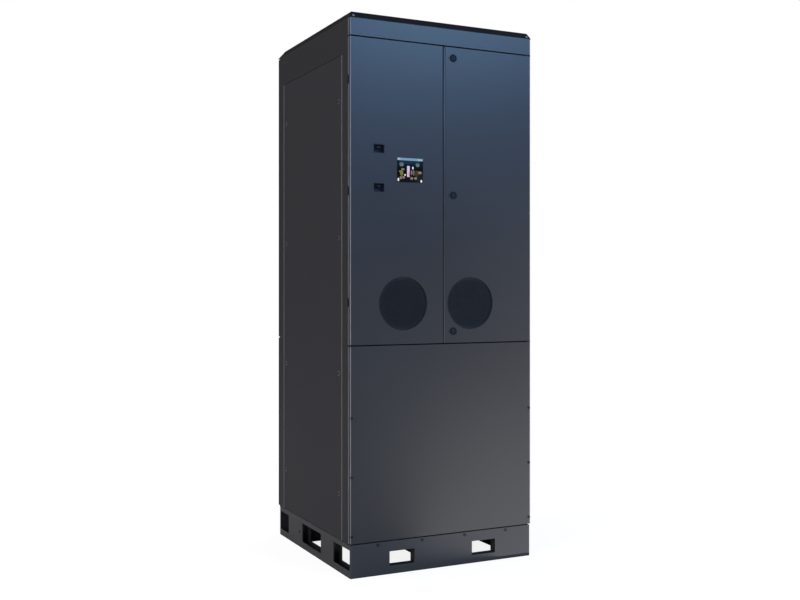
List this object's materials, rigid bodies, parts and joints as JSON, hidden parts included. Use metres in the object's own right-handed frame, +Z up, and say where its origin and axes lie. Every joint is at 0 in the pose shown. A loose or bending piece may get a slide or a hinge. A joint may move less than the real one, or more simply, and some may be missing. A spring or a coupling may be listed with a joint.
{
  "type": "coolant distribution unit",
  "caption": "Floor-standing coolant distribution cabinet on a fork-lift base, with hinged doors, door fans, display, pumps, heat exchanger and flanged pipe connections.",
  "frame": {"origin": "on the floor under the centre of the cabinet, on the underside of the base's centre rail", "axes": "+Z up, -Y towards the front doors, +X to the right seen from the front"},
  "size_m": [0.804, 0.843, 2.122],
  "materials": {
    "base_paint": "satin black powder coat with fine texture",
    "galvanised": "galvanised sheet",
    "frame_paint": "dark grey powder coat",
    "roof_paint": "black powder coat",
    "cover_paint": "dark grey powder coat with fine texture",
    "door_paint": "dark blue-grey semi-gloss powder coat",
    "screw_black": "blackened screws",
    "zinc": "zinc plated",
    "seal_rubber": "foamed rubber",
    "handle_black": "black die casting",
    "bezel_plastic": "black display bezel",
    "screen": null,
    "pocket_plastic": "black moulded plastic",
    "toggle_plastic": "dark grey moulded plastic",
    "grille_black": "black perforated sheet",
    "fan_plastic": "black moulded plastic",
    "rotor_plastic": "black moulded plastic",
    "lock_black": "black die casting",
    "lock_steel": "dark plated die casting",
    "exchanger_paint": "blue enamel",
    "stainless": "stainless steel",
    "pump_paint": "blue enamel",
    "shaft_steel": "ground steel",
    "facility_paint": "green pipe paint",
    "technology_paint": "red pipe paint",
    "valve_iron": "coated cast iron",
    "vessel_paint": "red enamel",
    "lever_paint": "red coated lever",
    "panel_paint": "pale mounting plate and device housings"
  },
  "bodies": {
    "cabinet": {"base_front_plate": "base_paint", "base_rear_plate": "base_paint", "base_side_rails": "base_paint", "base_centre_rail": "base_paint", "base_cross_beams": "base_paint", "drip_tray": "galvanised", "front_posts": "frame_paint", "rear_posts": "frame_paint", "top_side_rails": "frame_paint", "top_cross_rails": "frame_paint", "mid_rails": "frame_paint", "door_mullion": "frame_paint", "roof_panel": "roof_paint", "frame_hinges": "zinc", "header_panel": "door_paint", "lower_front_panel": "door_paint", "left_side_panel": "cover_paint", "right_side_panel": "cover_paint", "rear_pipe_panel": "cover_paint", "panel_screws": "screw_black", "exchanger_frame": "exchanger_paint", "exchanger_plates": "stainless", "left_pump": "pump_paint", "right_pump": "pump_paint", "connection_stubs": "stainless", "facility_pipes": "facility_paint", "technology_pipes": "technology_paint", "control_valve": "valve_iron", "expansion_vessel": "vessel_paint", "control_panel": "panel_paint"},
    "rear_door": {"rear_door": "door_paint", "rear_door_seal": "seal_rubber", "rear_door_hinges": "zinc"},
    "rear_handle": {"rear_door_handle": "handle_black"},
    "left_door": {"left_door": "door_paint", "left_door_seal": "seal_rubber", "left_door_hinges": "zinc", "display_housing": "bezel_plastic", "display_screen": "screen", "switch_pockets": "pocket_plastic", "left_fan_grille": "grille_black", "left_fan_housing": "fan_plastic"},
    "left_bolt": {"left_door_bolt": "zinc"},
    "upper_switch": {"upper_toggle": "toggle_plastic"},
    "lower_switch": {"lower_toggle": "toggle_plastic"},
    "left_fan": {"left_fan_rotor": "rotor_plastic"},
    "right_door": {"right_door": "door_paint", "right_door_seal": "seal_rubber", "right_door_hinges": "zinc", "lock_housings": "lock_black", "right_fan_grille": "grille_black", "right_fan_housing": "fan_plastic"},
    "right_fan": {"right_fan_rotor": "rotor_plastic"},
    "top_lock": {"top_lock": "lock_steel"},
    "middle_lock": {"middle_lock": "lock_steel"},
    "bottom_lock": {"bottom_lock": "lock_steel"},
    "left_pump_rotor": {"left_pump_shaft": "shaft_steel"},
    "right_pump_rotor": {"right_pump_shaft": "shaft_steel"},
    "left_valve": {"left_valve_lever": "lever_paint"},
    "right_valve": {"right_valve_lever": "lever_paint"}
  },
  "joints": [
    {"name": "left_door_swing", "type": "hinge", "parent": "cabinet", "child": "left_door", "pos_m": [-0.391, -0.391, 1.45], "axis": [0, 0, -1], "range_deg": [0, 115]},
    {"name": "right_door_swing", "type": "hinge", "parent": "cabinet", "child": "right_door", "pos_m": [0.391, -0.391, 1.45], "axis": [0, 0, 1], "range_deg": [0, 115]},
    {"name": "rear_door_swing", "type": "hinge", "parent": "cabinet", "child": "rear_door", "pos_m": [0.391, 0.391, 1.485], "axis": [0, 0, -1], "range_deg": [0, 115]},
    {"name": "rear_handle_turn", "type": "hinge", "parent": "rear_door", "child": "rear_handle", "pos_m": [-0.3, 0.4, 1.483], "axis": [0, 1, 0], "range_deg": [0, 90]},
    {"name": "left_bolt_slide", "type": "slide", "parent": "left_door", "child": "left_bolt", "axis": [0, 0, 1], "range_m": [0, 0.012]},
    {"name": "upper_switch_throw", "type": "hinge", "parent": "left_door", "child": "upper_switch", "pos_m": [-0.279, -0.386, 1.614], "axis": [1, 0, 0], "range_deg": [0, 50]},
    {"name": "lower_switch_throw", "type": "hinge", "parent": "left_door", "child": "lower_switch", "pos_m": [-0.279, -0.386, 1.467], "axis": [1, 0, 0], "range_deg": [0, 50]},
    {"name": "left_fan_spin", "type": "hinge", "parent": "left_door", "child": "left_fan", "pos_m": [-0.177, -0.38, 1.028], "axis": [0, 1, 0], "continuous": true},
    {"name": "right_fan_spin", "type": "hinge", "parent": "right_door", "child": "right_fan", "pos_m": [0.117, -0.38, 1.028], "axis": [0, 1, 0], "continuous": true},
    {"name": "top_lock_turn", "type": "hinge", "parent": "right_door", "child": "top_lock", "pos_m": [0.041, -0.39, 1.986], "axis": [0, 1, 0], "range_deg": [0, 90]},
    {"name": "middle_lock_turn", "type": "hinge", "parent": "right_door", "child": "middle_lock", "pos_m": [0.041, -0.39, 1.449], "axis": [0, 1, 0], "range_deg": [0, 90]},
    {"name": "bottom_lock_turn", "type": "hinge", "parent": "right_door", "child": "bottom_lock", "pos_m": [0.041, -0.39, 0.918], "axis": [0, 1, 0], "range_deg": [0, 90]},
    {"name": "left_pump_spin", "type": "hinge", "parent": "cabinet", "child": "left_pump_rotor", "pos_m": [-0.17, -0.12, 0.4], "axis": [0, 0, 1], "continuous": true},
    {"name": "right_pump_spin", "type": "hinge", "parent": "cabinet", "child": "right_pump_rotor", "pos_m": [0.17, -0.12, 0.4], "axis": [0, 0, 1], "continuous": true},
    {"name": "left_valve_turn", "type": "hinge", "parent": "cabinet", "child": "left_valve", "pos_m": [-0.11, 0.27195, 0.43], "axis": [0, 0, 1], "range_deg": [0, 90]},
    {"name": "right_valve_turn", "type": "hinge", "parent": "cabinet", "child": "right_valve", "pos_m": [0.11, 0.27195, 0.43], "axis": [0, 0, -1], "range_deg": [0, 90]}
  ]
}
